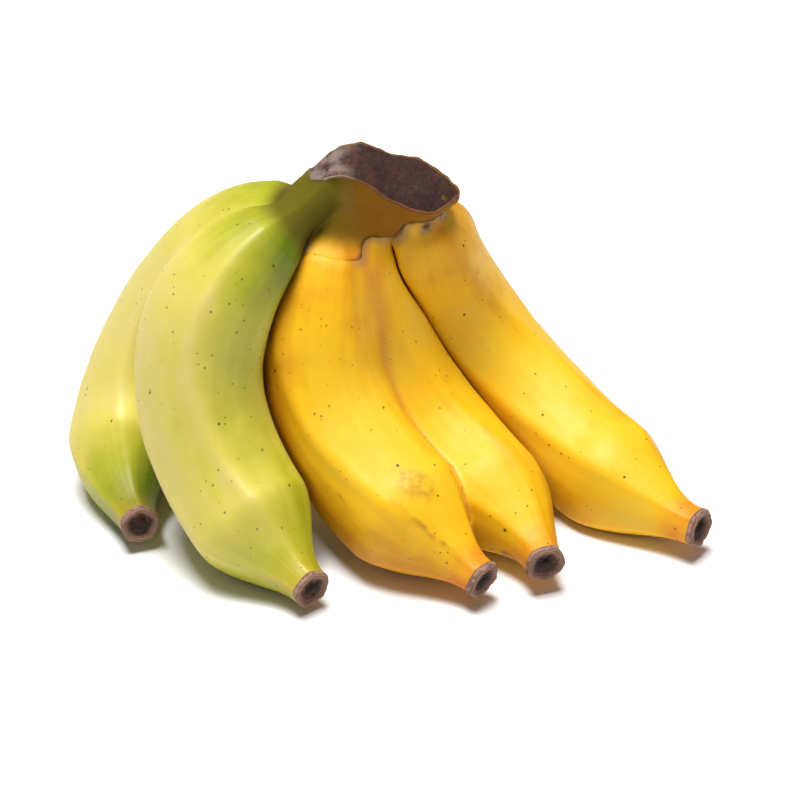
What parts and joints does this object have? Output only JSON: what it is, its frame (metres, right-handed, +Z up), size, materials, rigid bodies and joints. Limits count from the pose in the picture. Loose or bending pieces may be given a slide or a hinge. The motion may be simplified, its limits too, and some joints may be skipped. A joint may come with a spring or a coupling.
{
  "type": "banana hand",
  "caption": "Hand of short plump bananas, half ripe, standing crown-up on the bellies of its fruits, with a dark dried cut on the crown and dry flower ends.",
  "frame": {"origin": "on the resting surface, below the middle of the hand's outline seen from above", "axes": "+Z up through the crown; +X along the hand's width, towards the fruit at the right; -Y towards the viewer of the picture, the side that the flower ends are on"},
  "size_m": [0.2039, 0.1129, 0.118],
  "materials": {
    "skin_green": "satin skin, pale yellow green with fine brown specks",
    "skin_yellow": "satin skin, golden yellow with fine brown specks",
    "skin_crown": "olive green to brown, with a dark dried cut on top",
    "dry_flower": "dry, matt, dark brown"
  },
  "bodies": {
    "root": {"fruit_green_back": "skin_green", "fruit_green_front": "skin_green", "fruit_yellow_twin": "skin_yellow", "fruit_yellow_back": "skin_yellow", "crown": "skin_crown", "blossom_end_green_back": "dry_flower", "blossom_end_green_front": "dry_flower", "blossom_end_twin_front": "dry_flower", "blossom_end_twin_back": "dry_flower", "blossom_end_yellow_back": "dry_flower"}
  },
  "joints": []
}
